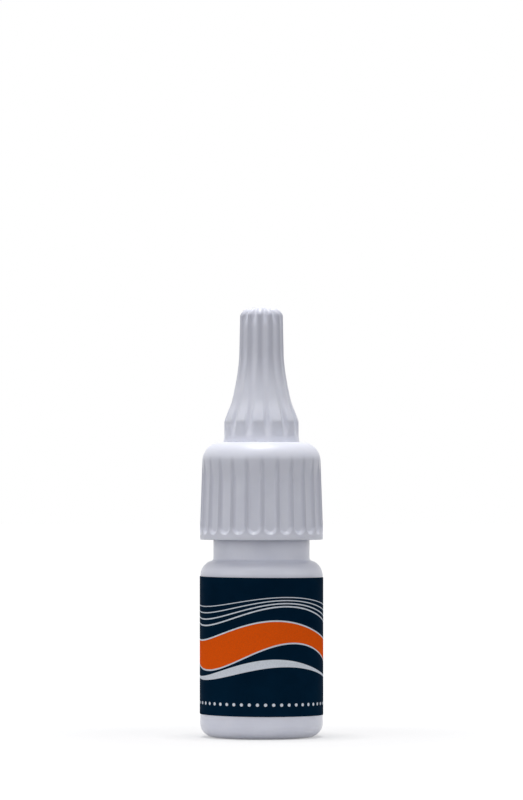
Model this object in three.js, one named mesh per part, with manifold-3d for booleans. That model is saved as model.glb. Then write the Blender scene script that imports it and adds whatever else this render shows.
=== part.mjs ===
// A squeeze bottle of gel glue, about 91 mm tall. A blow-moulded bottle carries a wrap-round label.
// A ribbed screw collar clamps the dispensing nozzle to the bottle's neck.
// A fluted cap screws down over the nozzle and holds a steel pin that keeps the outlet open.
// Lengths are in millimetres. +Z is up and the origin is the middle of the base.

import * as THREE from "three";
import { mergeVertices } from "three/addons/utils/BufferGeometryUtils.js";
import Module from "manifold-3d";

const wasm = await Module();
wasm.setup();

// Bottle
const bodyRadius = 13;
const bodyHeight = 34.3; // base to where the shoulder starts to curve
const bottleWall = 1;
const baseThickness = 1.3;
const baseEdgeRadius = 3;
const standRingWidth = 2.4; // flat ring that the bottle stands on
const pushUpDepth = 0.6;
const shoulderRadius = 3.4;
const neckWall = 1.2;
const neckShowing = 4.35; // plain neck between the shoulder and the collar
const edgeBevel = 0.3; // small bevel on moulded edges

// Label
const labelFootMargin = 1.9; // straight wall left bare below the label
const labelTopMargin = 0.2;
const labelThickness = 0.12;
const labelGlueGap = 0.05;
const labelOverlapSegments = 2;

// Gel
const gelHeadspace = 10.2; // gel's surface to the nozzle's plug
const gelGap = 0.3;

// Thread between the bottle's neck and the collar
const neckThreadLead = 3.2;
const neckThreadHeight = 1;
const neckThreadCrest = 0.8; // axial width of the ridge at its crest
const neckThreadTurns = 1.75;
const neckThreadDrop = 1.4; // rim to the top of the thread
const collarThreadTurns = 1.5;

// Thread between the nozzle's stem and the cap
const stemThreadLead = 2;
const stemThreadHeight = 0.7;
const stemThreadCrest = 0.5;
const stemThreadTurns = 1.5;
const stemThreadRise = 0.8; // cap's lower edge to the middle of the thread's first ridge
const capThreadTurns = 1;

// Fits shared by both threads and by the faces that bear on each other
const threadClearance = 0.3; // between a crest and the wall it faces
const flankClearance = 0.3; // along the axis, on each side of a ridge
const seatGap = 0.1;

// Collar
const collarLength = 20.8;
const collarOverhang = 0.1; // how far the rim stands out past the body
const collarWall = 1;
const collarTopThickness = 1.6;
const collarEdgeRadius = 4.15;
const collarDraft = 0.25; // how much wider the skirt is at its rim
const collarRibCount = 24;
const collarRibTurn = 0.3; // degrees from -Y towards +X to the first rib
const collarRibHeight = 0.35;
const collarRibWidth = 1.7; // at the foot
const collarRimHeight = 1.1;
const collarRunOut = 1.7; // height in which the wall between the ribs flows out to the rim
const collarLeadIn = 0.5;

// Nozzle
const flangeThickness = 1.4;
const plugLength = 4.5;
const plugWall = 1;
const plugClearance = 0.3;
const stemRadius = 5.4;
const stemWall = 1.2;
const stemEnd = 0.8; // plain end of the stem above its thread
const spoutFootRise = 1.8; // sloping step from the stem in to the spout
const spoutLength = 17.8;
const spoutWall = 1.05;
const outletRadius = 0.9;
const outletLength = 6;

// Cap
const capWall = 1;
const capTopThickness = 1.5;
const capEdgeRadius = 1.3;
const capRibCount = 12;
const capRibTurn = 25; // degrees from -Y towards +X to the first rib
const capBaseRibHeight = 0.7;
const capBaseRibWidth = 3.4; // at the foot, where the ribs end in broad pads
const capShaftRibHeight = 0.38;
const capShaftRibWidth = 1.4;
const capRimHeight = 1.1;
const capChannelRise = 2.4; // slope from the rim in to the wall between the ribs
const capThreadMargin = 0.3; // straight base above the thread
const capFlareTurn = 8.4; // height above the base at which the flare's two slopes would meet
const capShaftLength = 9.8;
const capShaftTaper = 0.17; // how much wider the shaft is at its foot
const capSpoutGap = 1.3; // around the spout's tip
const bossLength = 2.2;
const bossWall = 0.8;
const bossTipGap = 0.3;

// Clearing pin
const pinLength = 12;
const pinOutletGap = 0.35; // around the pin in the outlet
const pinSocketGap = 0.12;
const pinSocketRise = 0.6; // how far the pin's socket reaches into the cap's top
const pinPoint = 0.6;

// Section of the ribs on the collar and the cap
const ribCrestShare = 0.6; // crest's width as a share of the foot's
const ribPitchShare = 0.9; // most of its pitch that a rib's foot may take

// Fineness of the round faces
const roundSegments = 44;
const boreSegments = 36;
const slimSegments = 28;
const pinSegments = 12;
const arcSteps = 2; // doubled on an arc
const edgeSteps = 5;
const flareSteps = 7;
const ridgeStepsPerTurn = 24;
const ridgeFadeSteps = 2; // steps in which a ridge rises out of its wall
const ridgeSink = 0.25; // how far a ridge is rooted in its wall
const ridgeEndShare = 0.1; // share of a ridge's depth that is left at its ends
const cutOvershoot = 0.5; // how far a cut runs out of the piece

// The collar lies flush with the body, and the neck takes its radius from the collar's bore
const collarRimRadius = bodyRadius + collarOverhang;
const collarWallRadius = collarRimRadius - collarDraft - collarRibHeight;
const collarBore = collarWallRadius - collarWall;
const neckRadius = collarBore - threadClearance - neckThreadHeight;

// The shoulder's curve, from the body in to the neck
const shoulderCentre = bodyRadius - shoulderRadius;
const shoulderCosine = THREE.MathUtils.clamp((neckRadius - shoulderCentre) / shoulderRadius, 0, 1);
const shoulderSweep = Math.acos(shoulderCosine);

// Heights, from the base up
const shoulderTop = bodyHeight + shoulderRadius * Math.sin(shoulderSweep);
const floorTop = pushUpDepth + baseThickness;
const collarBottom = shoulderTop + neckShowing;
const collarTop = collarBottom + collarLength;
const collarCeiling = collarTop - collarTopThickness;
const flangeTop = collarCeiling - seatGap;
const flangeBottom = flangeTop - flangeThickness;
const neckRim = flangeBottom - seatGap;
const plugBottom = flangeBottom - plugLength;
const gelLevel = plugBottom - gelHeadspace;
const capBottom = collarTop + seatGap;
const flareStart = capBottom + stemThreadRise + stemThreadTurns * stemThreadLead + capThreadMargin;
const stemTop = flareStart + stemEnd;
const spoutFoot = stemTop + spoutFootRise;
const nozzleTip = spoutFoot + spoutLength;
const bossBottom = nozzleTip + bossTipGap;
const capCeiling = bossBottom + bossLength;
const capTop = capCeiling + capTopThickness;
const socketTop = capCeiling + pinSocketRise;

// Radii, from the inside out
const cavityRadius = bodyRadius - bottleWall;
const cavityEdge = Math.max(baseEdgeRadius - bottleWall, edgeBevel);
const cavityShoulder = Math.max(shoulderRadius - bottleWall, edgeBevel);
const neckBore = neckRadius - neckWall;
const collarSeatBore = neckRadius + threadClearance;
const stemCrestRadius = stemRadius + stemThreadHeight;
const collarHoleRadius = stemCrestRadius + threadClearance;
const spoutTipRadius = outletRadius + spoutWall;
const pinRadius = outletRadius - pinOutletGap;
const socketRadius = pinRadius + pinSocketGap;
const capBore = stemCrestRadius + threadClearance;
const capBaseWallRadius = capBore + capWall;
const capRimRadius = capBaseWallRadius + capBaseRibHeight;
const capShaftBore = spoutTipRadius + capSpoutGap;
const capShaftWallRadius = capShaftBore + capWall;

// The axial width that is left for a ridge's root beside the ridge that runs in its groove
const rootWidth = (lead, crest) => lead - crest - 2 * flankClearance;

// A closed geometry as a solid that can be joined or cut
function solid(geometry) {
  const bare = new THREE.BufferGeometry();
  bare.setAttribute("position", geometry.getAttribute("position"));
  bare.setIndex(geometry.getIndex());
  const merged = mergeVertices(bare, 1e-4);
  const vertProperties = merged.getAttribute("position").array;
  const triVerts = new Uint32Array(merged.getIndex().array);
  return new wasm.Manifold(new wasm.Mesh({ numProp: 3, vertProperties, triVerts }));
}

// The solid as a named mesh with a material of its own
function piece(name, made, { color, roughness, metalness = 0 }) {
  const { vertProperties, triVerts } = made.getMesh();
  const geometry = new THREE.BufferGeometry();
  geometry.setAttribute("position", new THREE.BufferAttribute(vertProperties, 3));
  geometry.setIndex(new THREE.BufferAttribute(triVerts, 1));
  const material = new THREE.MeshStandardMaterial({ color, roughness, metalness, flatShading: true });
  const mesh = new THREE.Mesh(geometry, material);
  mesh.name = name;
  return mesh;
}

// An outline of radius against height, turned about the Z axis
function turned(outline, segments) {
  return solid(new THREE.LatheGeometry(outline.getPoints(arcSteps), segments).rotateX(Math.PI / 2));
}

// Where the four columns of a rib lie: across its width, and whether they are on the crest
const ribColumns = [
  { across: -1, rise: 0 },
  { across: -ribCrestShare, rise: 1 },
  { across: ribCrestShare, rise: 1 },
  { across: 1, rise: 0 },
];

// A turned outline whose wall carries upright ribs, the first of them turned from -Y towards +X.
// Each ring of the outline gives the wall's radius, its height, how far the ribs stand out and how wide they are.
function ribbed(rings, { ribCount, ribTurn }) {
  const points = rings.map(({ wall, z }) => new THREE.Vector2(wall, z));
  const geometry = new THREE.LatheGeometry(points, ribCount * ribColumns.length).rotateX(Math.PI / 2);
  const position = geometry.getAttribute("position");
  const pitch = (2 * Math.PI) / ribCount;
  for (let i = 0; i < position.count; i += 1) {
    const { wall, rib, width, z } = rings[i % rings.length];
    const column = Math.floor(i / rings.length);
    const { across, rise } = ribColumns[column % ribColumns.length];
    const halfAngle = Math.min(width / wall, pitch * ribPitchShare) / 2;
    const middle = THREE.MathUtils.degToRad(ribTurn) + Math.floor(column / ribColumns.length) * pitch;
    const angle = middle + across * halfAngle;
    const radius = wall + rise * rib;
    position.setXYZ(i, radius * Math.sin(angle), -radius * Math.cos(angle), z);
  }
  return solid(geometry);
}

// A right-hand thread ridge on a wall. A positive height stands out of a shaft, a negative one into a bore.
// The ridge rises out of the wall at its start and sinks back into it at its end.
function threadRidge({ wall, height, lead, crest, turns, startTurn, startZ }) {
  const steps = Math.round(turns * ridgeStepsPerTurn);
  const outward = Math.sign(height);
  const root = wall - outward * ridgeSink;
  const rootHalf = (outward * rootWidth(lead, crest)) / 2;
  const crestHalf = (outward * crest) / 2;
  const vertices = [];
  const faces = [];
  for (let step = 0; step <= steps; step += 1) {
    const turn = (turns * step) / steps;
    const angle = 2 * Math.PI * (startTurn + turn);
    const fade = Math.min(1, step / ridgeFadeSteps, (steps - step) / ridgeFadeSteps);
    const top = THREE.MathUtils.lerp(root, wall + height, Math.max(fade, ridgeEndShare));
    const middle = startZ + lead * turn;
    const section = [[root, -rootHalf], [top, -crestHalf], [top, crestHalf], [root, rootHalf]];
    for (const [radius, z] of section) {
      vertices.push(radius * Math.cos(angle), radius * Math.sin(angle), middle + z);
    }
  }
  for (let step = 0; step < steps; step += 1) {
    for (let side = 0; side < 4; side += 1) {
      const here = step * 4 + side;
      const next = step * 4 + ((side + 1) % 4);
      faces.push(here, next + 4, next, here, here + 4, next + 4);
    }
  }
  const last = steps * 4;
  faces.push(0, 1, 2, 0, 2, 3, last, last + 2, last + 1, last, last + 3, last + 2);
  const geometry = new THREE.BufferGeometry();
  geometry.setAttribute("position", new THREE.Float32BufferAttribute(vertices, 3));
  geometry.setIndex(faces);
  return solid(geometry);
}

// The neck's thread. The collar's ridge lies half a lead below it in the same helix.
const neckThread = { lead: neckThreadLead, crest: neckThreadCrest };
const neckRidgeTop = neckRim - neckThreadDrop - rootWidth(neckThreadLead, neckThreadCrest) / 2;
const neckRidgeStart = neckRidgeTop - neckThreadTurns * neckThreadLead;
const collarRidgeTurn = neckThreadTurns - collarThreadTurns;
const collarRidgeStart = neckRidgeStart + neckThreadLead * (collarRidgeTurn - 0.5);

// The stem's thread. The cap's ridge lies half a lead below it in the same helix.
const stemThread = { lead: stemThreadLead, crest: stemThreadCrest };
const stemRidgeStart = capBottom + stemThreadRise;
const capRidgeTurn = stemThreadTurns - capThreadTurns;
const capRidgeStart = stemRidgeStart + stemThreadLead * (capRidgeTurn - 0.5);

function bottle() {
  const standRadius = bodyRadius - baseEdgeRadius;
  const pushUpFoot = standRadius - standRingWidth;
  const cavityCosine = THREE.MathUtils.clamp((neckBore - shoulderCentre) / cavityShoulder, 0, 1);
  const outline = new THREE.Path()
    .moveTo(0, pushUpDepth)
    .lineTo(pushUpFoot - pushUpDepth, pushUpDepth)
    .lineTo(pushUpFoot, 0)
    .absarc(standRadius, baseEdgeRadius, baseEdgeRadius, -Math.PI / 2, 0, false)
    .absarc(shoulderCentre, bodyHeight, shoulderRadius, 0, shoulderSweep, false)
    .lineTo(neckRadius, neckRim - edgeBevel)
    .lineTo(neckRadius - edgeBevel, neckRim)
    .lineTo(neckBore + edgeBevel, neckRim)
    .lineTo(neckBore, neckRim - edgeBevel)
    .lineTo(neckBore, bodyHeight + cavityShoulder)
    .absarc(shoulderCentre, bodyHeight, cavityShoulder, Math.acos(cavityCosine), 0, true)
    .absarc(cavityRadius - cavityEdge, floorTop + cavityEdge, cavityEdge, 0, -Math.PI / 2, true)
    .lineTo(0, floorTop);
  const ridge = threadRidge({
    ...neckThread,
    wall: neckRadius,
    height: neckThreadHeight,
    turns: neckThreadTurns,
    startTurn: 0,
    startZ: neckRidgeStart,
  });
  return turned(outline, roundSegments).add(ridge);
}

// The label is one strip wound once round the body, its end lapped over its start at the back
function label() {
  const labelBottom = baseEdgeRadius + labelFootMargin;
  const labelHeight = bodyHeight - labelTopMargin - labelBottom;
  const step = (2 * Math.PI) / roundSegments;
  const inner = bodyRadius + labelGlueGap;
  const lift = labelThickness + labelGlueGap;
  const columns = [];
  for (let column = 0; column <= roundSegments + labelOverlapSegments; column += 1) {
    const lapped = column >= roundSegments - 1;
    columns.push({ angle: column * step + Math.PI, radius: inner + (lapped ? lift : 0) });
  }
  const at = ({ angle, radius }, out) =>
    new THREE.Vector2((radius + out) * Math.sin(angle), -(radius + out) * Math.cos(angle));
  const outside = columns.map((column) => at(column, labelThickness));
  const inside = columns.map((column) => at(column, 0)).reverse();
  const strip = new THREE.Shape([...outside, ...inside]);
  const geometry = new THREE.ExtrudeGeometry(strip, { depth: labelHeight, bevelEnabled: false });
  return solid(geometry.translate(0, 0, labelBottom));
}

// The gel follows the bottle's inside up to its level
function gelFill() {
  const radius = cavityRadius - gelGap;
  const neck = neckBore - gelGap;
  const bottom = floorTop + gelGap;
  const inside = new THREE.Path()
    .moveTo(0, bottom)
    .lineTo(radius - cavityEdge, bottom)
    .absarc(radius - cavityEdge, bottom + cavityEdge, cavityEdge, -Math.PI / 2, 0, false)
    .lineTo(radius, bodyHeight - gelGap)
    .lineTo(neck, bodyHeight + cavityShoulder - gelGap)
    .lineTo(neck, neckRim)
    .lineTo(0, neckRim);
  const belowLevel = new THREE.Path().moveTo(0, 0).lineTo(bodyRadius, 0);
  belowLevel.lineTo(bodyRadius, gelLevel).lineTo(0, gelLevel);
  return turned(inside, boreSegments).intersect(turned(belowLevel, boreSegments));
}

function screwCollar() {
  const rimTop = collarBottom + collarRimHeight;
  const width = collarRibWidth;
  const rings = [
    { wall: 0, z: collarBottom, rib: 0, width },
    { wall: collarRimRadius - edgeBevel, z: collarBottom, rib: 0, width },
    { wall: collarRimRadius, z: collarBottom + edgeBevel, rib: 0, width },
    { wall: collarRimRadius, z: rimTop, rib: 0, width },
  ];
  for (const along of [0.5, 1]) {
    const rib = collarRibHeight * (1 - (1 - along) ** 2);
    rings.push({ wall: collarRimRadius - rib, z: rimTop + along * collarRunOut, rib, width });
  }
  const edgeCentre = new THREE.Vector2(collarWallRadius - collarEdgeRadius, collarTop - collarEdgeRadius);
  for (let step = 0; step <= edgeSteps; step += 1) {
    const sweep = ((Math.PI / 2) * step) / edgeSteps;
    const wall = edgeCentre.x + collarEdgeRadius * Math.cos(sweep);
    const z = edgeCentre.y + collarEdgeRadius * Math.sin(sweep);
    rings.push({ wall, z, rib: step === 0 ? collarRibHeight : 0, width });
  }
  rings.push({ wall: 0, z: collarTop, rib: 0, width });
  const boreTop = neckRim - neckThreadDrop + threadClearance;
  const bore = new THREE.Path()
    .moveTo(0, collarBottom - cutOvershoot)
    .lineTo(collarBore + collarLeadIn + cutOvershoot, collarBottom - cutOvershoot)
    .lineTo(collarBore, collarBottom + collarLeadIn)
    .lineTo(collarBore, boreTop)
    .lineTo(collarSeatBore, boreTop + collarBore - collarSeatBore)
    .lineTo(collarSeatBore, collarCeiling)
    .lineTo(collarHoleRadius, collarCeiling)
    .lineTo(collarHoleRadius, collarTop + cutOvershoot)
    .lineTo(0, collarTop + cutOvershoot);
  const ridge = threadRidge({
    ...neckThread,
    wall: collarBore,
    height: -neckThreadHeight,
    turns: collarThreadTurns,
    startTurn: collarRidgeTurn,
    startZ: collarRidgeStart,
  });
  const hollow = turned(bore, boreSegments).subtract(ridge);
  const shell = ribbed(rings, { ribCount: collarRibCount, ribTurn: collarRibTurn });
  return shell.subtract(hollow);
}

function nozzle() {
  const plugRadius = neckBore - plugClearance;
  const plugBore = plugRadius - plugWall;
  const flangeRadius = neckRadius;
  const spoutFootRadius = stemRadius - spoutFootRise;
  const stemBore = stemRadius - stemWall;
  const outline = new THREE.Path()
    .moveTo(plugBore, plugBottom)
    .lineTo(plugRadius - edgeBevel, plugBottom)
    .lineTo(plugRadius, plugBottom + edgeBevel)
    .lineTo(plugRadius, flangeBottom)
    .lineTo(flangeRadius, flangeBottom)
    .lineTo(flangeRadius, flangeTop)
    .lineTo(stemRadius, flangeTop)
    .lineTo(stemRadius, stemTop)
    .lineTo(spoutFootRadius, spoutFoot)
    .lineTo(spoutTipRadius, nozzleTip - edgeBevel)
    .lineTo(spoutTipRadius - edgeBevel, nozzleTip)
    .lineTo(outletRadius, nozzleTip)
    .lineTo(outletRadius, nozzleTip - outletLength)
    .lineTo(spoutFootRadius - stemWall, spoutFoot)
    .lineTo(stemBore, stemTop - stemWall)
    .lineTo(stemBore, flangeTop)
    .lineTo(plugBore, flangeBottom)
    .closePath();
  const ridge = threadRidge({
    ...stemThread,
    wall: stemRadius,
    height: stemThreadHeight,
    turns: stemThreadTurns,
    startTurn: 0,
    startZ: stemRidgeStart,
  });
  return turned(outline, slimSegments).add(ridge);
}

function overcap() {
  const shaftFootRadius = capShaftWallRadius + capShaftTaper;
  const flare = new THREE.QuadraticBezierCurve(
    new THREE.Vector2(capBaseWallRadius, flareStart),
    new THREE.Vector2(shaftFootRadius, flareStart + capFlareTurn),
    new THREE.Vector2(shaftFootRadius, capTop - capShaftLength),
  ).getPoints(flareSteps);
  const rimTop = capBottom + capRimHeight;
  const rings = [
    { wall: 0, z: capBottom, rib: 0, width: capBaseRibWidth },
    { wall: capRimRadius, z: capBottom, rib: 0, width: capBaseRibWidth },
    { wall: capRimRadius, z: rimTop, rib: 0, width: capBaseRibWidth },
    { wall: capBaseWallRadius, z: rimTop + capChannelRise, rib: capBaseRibHeight, width: capBaseRibWidth },
  ];
  flare.forEach((point, index) => {
    const along = index / flareSteps;
    const rib = THREE.MathUtils.lerp(capBaseRibHeight, capShaftRibHeight, along);
    const width = THREE.MathUtils.lerp(capBaseRibWidth, capShaftRibWidth, along);
    rings.push({ wall: point.x, z: point.y, rib, width });
  });
  for (const sweep of [0, Math.PI / 4, Math.PI / 2]) {
    const wall = capShaftWallRadius - capEdgeRadius * (1 - Math.cos(sweep));
    const z = capTop - capEdgeRadius * (1 - Math.sin(sweep));
    rings.push({ wall, z, rib: capShaftRibHeight * Math.cos(sweep / 2), width: capShaftRibWidth });
  }
  rings.push({ wall: 0, z: capTop, rib: 0, width: capShaftRibWidth });
  const bore = new THREE.Path()
    .moveTo(0, capBottom - cutOvershoot)
    .lineTo(capBore, capBottom - cutOvershoot);
  flare.forEach((point) => bore.lineTo(point.x - capWall, point.y));
  bore
    .lineTo(capShaftBore, capCeiling)
    .lineTo(socketRadius + bossWall, capCeiling)
    .lineTo(socketRadius + bossWall, bossBottom)
    .lineTo(socketRadius, bossBottom)
    .lineTo(socketRadius, socketTop)
    .lineTo(0, socketTop);
  const ridge = threadRidge({
    ...stemThread,
    wall: capBore,
    height: -stemThreadHeight,
    turns: capThreadTurns,
    startTurn: capRidgeTurn,
    startZ: capRidgeStart,
  });
  const hollow = turned(bore, slimSegments).subtract(ridge);
  const shell = ribbed(rings, { ribCount: capRibCount, ribTurn: capRibTurn });
  return shell.subtract(hollow);
}

function clearingPin() {
  const top = socketTop - pinSocketGap;
  const outline = new THREE.Path()
    .moveTo(0, top - pinLength)
    .lineTo(pinRadius, top - pinLength + pinPoint)
    .lineTo(pinRadius, top)
    .lineTo(0, top);
  return turned(outline, pinSegments);
}

const whitePlastic = { color: 0xe4e5ec, roughness: 0.35 };

const glueBottle = new THREE.Group();
glueBottle.name = "gel_glue_bottle";
glueBottle.add(
  piece("bottle", bottle(), { color: 0xc9ccd6, roughness: 0.4 }),
  piece("label", label(), { color: 0x03172a, roughness: 0.4 }),
  piece("gel_fill", gelFill(), { color: 0xd9dce2, roughness: 0.2 }),
  piece("nozzle", nozzle(), { color: 0xdadde4, roughness: 0.4 }),
  piece("screw_collar", screwCollar(), whitePlastic),
  piece("overcap", overcap(), whitePlastic),
  piece("clearing_pin", clearingPin(), { color: 0xb9bcc0, roughness: 0.3, metalness: 1 }),
);

export default glueBottle;
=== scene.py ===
"""A squeeze bottle of gel glue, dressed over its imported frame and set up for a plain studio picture.

The bottle's sizes are in millimetres and become metres where a mesh is made. The studio's sizes are in
metres. +Z is up, the front faces -Y and the origin is the middle of the base.
"""

import logging
import math
from dataclasses import dataclass
from enum import Enum
from functools import lru_cache
from typing import Callable, Union

import bmesh
import bpy
from bmesh.types import BMesh
from bpy.types import Material, NodeSocket as Socket
from mathutils import Matrix, Vector


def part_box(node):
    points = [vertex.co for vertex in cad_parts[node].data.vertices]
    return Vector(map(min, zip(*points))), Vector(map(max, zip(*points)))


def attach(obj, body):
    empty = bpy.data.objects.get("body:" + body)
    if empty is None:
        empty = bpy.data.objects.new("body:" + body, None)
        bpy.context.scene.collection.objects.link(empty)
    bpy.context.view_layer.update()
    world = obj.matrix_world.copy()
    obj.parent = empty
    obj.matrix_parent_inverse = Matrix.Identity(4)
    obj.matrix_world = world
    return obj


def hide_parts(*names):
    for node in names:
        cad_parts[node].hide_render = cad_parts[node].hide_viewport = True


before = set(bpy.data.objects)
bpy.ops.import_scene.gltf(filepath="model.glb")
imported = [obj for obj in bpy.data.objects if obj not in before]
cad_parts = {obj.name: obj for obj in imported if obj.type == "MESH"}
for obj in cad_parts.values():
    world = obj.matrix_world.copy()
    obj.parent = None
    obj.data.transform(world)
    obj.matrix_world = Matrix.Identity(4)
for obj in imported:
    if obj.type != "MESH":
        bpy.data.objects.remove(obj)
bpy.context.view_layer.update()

LOG = logging.getLogger("glue_bottle")
METRES_PER_MM = 0.001
MERGE_DISTANCE = 1e-6
TURN_SECTORS = 8
SOFT_STEPS = 4
SHARP_ANGLE = math.radians(38)
WHOLE = (0.0, 1.0)
NOISE_SPAN = (0.3, 0.7)
SHEEN_SPOTS_PER_CLOUD = 3
GLOW_RATIO = (1.0, 0.9, 0.8)
WHITE = (1, 1, 1, 1)

Colour = tuple[float, float, float, float]
Place = tuple[float, float, float]
Span = tuple[float, float]
Value = Union[float, tuple, Socket]
RiseRule = Callable[[float, float, float], tuple[float, float]]


class Zone(Enum):
    """The part of a turned wall that a point lies on, which says what grows there."""

    PLAIN = 0
    RIBS = 1
    THREAD = 2
    SKIN = 3
    BASE = 4


class Body(Enum):
    """The moving bodies of the frame."""

    BOTTLE = "bottle"
    NOZZLE = "nozzle"
    COLLAR = "collar"
    CAP = "cap"
    PIN = "pin"


class Ramp(Enum):
    """How a shader value runs between the ends of its range."""

    STRAIGHT = "LINEAR"
    SMOOTH = "SMOOTHSTEP"


def mix(start: float, end: float, share: float) -> float:
    """Returns the value that lies a share of the way from start to end."""
    return start + (end - start) * share


def share_of(low: float, high: float, value: float) -> float:
    """Returns how far a value lies from low to high, held between 0 and 1."""
    return min(1.0, max(0.0, (value - low) / (high - low)))


def ease(low: float, high: float, value: float) -> float:
    """Returns a smooth rise from 0 at low to 1 at high."""
    share = share_of(low, high, value)
    return share * share * (3 - 2 * share)


@lru_cache(maxsize=None)
def node_levels(node: str) -> tuple[float, float, float]:
    """Returns a frame node's lowest height, highest height and half width along X, in millimetres."""
    low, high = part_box(node)
    return low[2] / METRES_PER_MM, high[2] / METRES_PER_MM, (high[0] - low[0]) / 2 / METRES_PER_MM


@dataclass(frozen=True)
class Corner:
    """One point of a turned outline.

    Attributes:
        radius: Distance from the axis.
        height: Height above the base.
        soft: How far back from the corner its rounding starts.
        zone: The part of the wall that it lies on.
    """

    radius: float
    height: float
    soft: float = 0.0
    zone: Zone = Zone.PLAIN

    def place(self) -> Vector:
        """Returns the point in the plane of the outline."""
        return Vector((self.radius, self.height))


class Outline:
    """The half section of a turned piece, drawn point by point."""

    def __init__(self) -> None:
        """Starts with no points."""
        self.corners: list[Corner] = []

    def to(self, radius: float, height: float, soft: float = 0.0, zone: Zone = Zone.PLAIN) -> "Outline":
        """Adds one corner, with the values that a corner has, and returns the outline itself."""
        self.corners.append(Corner(radius, height, soft, zone))
        return self

    def run(self, radius: float, height: float, rows: int, zone: Zone = Zone.PLAIN) -> "Outline":
        """Runs straight on from the last point in even rows.

        Args:
            radius: Distance of the end from the axis.
            height: Height of the end.
            rows: Number of rows.
            zone: The part of the wall that the rows lie on.

        Returns:
            The outline itself.
        """
        start = self.corners[-1]
        for row in range(1, rows + 1):
            self.to(mix(start.radius, radius, row / rows), mix(start.height, height, row / rows), zone=zone)
        return self

    def arc(self, centre: Span, radius: float, sweep: Span, steps: int, zone: Zone = Zone.PLAIN) -> "Outline":
        """Adds a round curve.

        Args:
            centre: Radius and height of its centre.
            radius: Its own radius.
            sweep: First and last angle in degrees, from straight out towards straight up.
            steps: Number of steps.
            zone: The part of the wall that it lies on.

        Returns:
            The outline itself.
        """
        for step in range(steps + 1):
            angle = math.radians(mix(*sweep, step / steps))
            self.to(centre[0] + radius * math.cos(angle), centre[1] + radius * math.sin(angle), zone=zone)
        return self

    def flare(self, turn_at: Span, end: Span, steps: int, zone: Zone = Zone.PLAIN) -> "Outline":
        """Curves smoothly on from the last point.

        Args:
            turn_at: Radius and height where the first and the last slope would meet.
            end: Radius and height of the end.
            steps: Number of steps.
            zone: The part of the wall that it lies on.

        Returns:
            The outline itself.
        """
        start = self.corners[-1].place()
        middle = Vector(turn_at)
        last = Vector(end)
        for step in range(1, steps + 1):
            share = step / steps
            spot = start.lerp(middle, share).lerp(middle.lerp(last, share), share)
            self.to(spot.x, spot.y, zone=zone)
        return self

    def points(self, closed: bool) -> list[Corner]:
        """Rounds the soft corners.

        Args:
            closed: Whether the last point joins the first.

        Returns:
            The points of the finished outline.
        """
        made: list[Corner] = []
        count = len(self.corners)
        for index, corner in enumerate(self.corners):
            if corner.soft == 0 or not (closed or 0 < index < count - 1):
                made.append(corner)
                continue
            here = corner.place()
            before = here + (self.corners[index - 1].place() - here).normalized() * corner.soft
            after = here + (self.corners[(index + 1) % count].place() - here).normalized() * corner.soft
            for step in range(SOFT_STEPS + 1):
                share = step / SOFT_STEPS
                spot = before.lerp(here, share).lerp(here.lerp(after, share), share)
                made.append(Corner(spot.x, spot.y, zone=corner.zone))
        return made

    def turned(self, columns: int, closed: bool) -> BMesh:
        """Spins the outline through one sector and doubles it until it goes once round the Z axis.

        Args:
            columns: Number of steps round the axis.
            closed: Whether the outline is a ring of its own, clear of the axis.

        Returns:
            The closed mesh, whose vertices carry their zone.
        """
        mesh = bmesh.new()
        zone_layer = mesh.verts.layers.float.new("zone")
        verts = []
        for corner in self.points(closed):
            vert = mesh.verts.new(Vector((corner.radius, 0, corner.height)) * METRES_PER_MM)
            vert[zone_layer] = corner.zone.value
            verts.append(vert)
        edges = [mesh.edges.new(pair) for pair in zip(verts, verts[1:])]
        if closed:
            edges.append(mesh.edges.new((verts[-1], verts[0])))
        bmesh.ops.spin(
            mesh,
            geom=verts + edges,
            cent=(0, 0, 0),
            axis=(0, 0, 1),
            dvec=(0, 0, 0),
            angle=math.tau / TURN_SECTORS,
            steps=columns // TURN_SECTORS,
            use_duplicate=False,
        )
        sectors = TURN_SECTORS
        while sectors > 1:
            copy = bmesh.ops.duplicate(mesh, geom=mesh.verts[:] + mesh.edges[:] + mesh.faces[:])["geom"]
            moved = [item for item in copy if isinstance(item, bmesh.types.BMVert)]
            step = Matrix.Rotation(math.tau / sectors, 3, "Z")
            bmesh.ops.rotate(mesh, verts=moved, cent=(0, 0, 0), matrix=step)
            sectors //= 2
        bmesh.ops.remove_doubles(mesh, verts=mesh.verts[:], dist=MERGE_DISTANCE)
        bmesh.ops.recalc_face_normals(mesh, faces=mesh.faces[:])
        return mesh


def grow(mesh: BMesh, zone: Zone, rule: RiseRule) -> None:
    """Moves one zone of a turned wall out from the axis and notes where painted shade goes on its ribs.

    Args:
        mesh: The turned mesh.
        zone: The zone that moves.
        rule: Gives the move in millimetres and the share of painted rib shade, from an angle in radians,
        a radius and a height in millimetres.
    """
    zone_layer = mesh.verts.layers.float["zone"]
    rib_shade_layer = mesh.verts.layers.float.get("rib") or mesh.verts.layers.float.new("rib")
    for vert in mesh.verts:
        if round(vert[zone_layer]) != zone.value:
            continue
        flat = vert.co.xy / METRES_PER_MM
        # The second value is the share of painted shade on the ribs.
        rise, vert[rib_shade_layer] = rule(math.atan2(flat.y, flat.x), flat.length, vert.co.z / METRES_PER_MM)
        vert.co.xy = flat.normalized() * (flat.length + rise) * METRES_PER_MM


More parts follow.
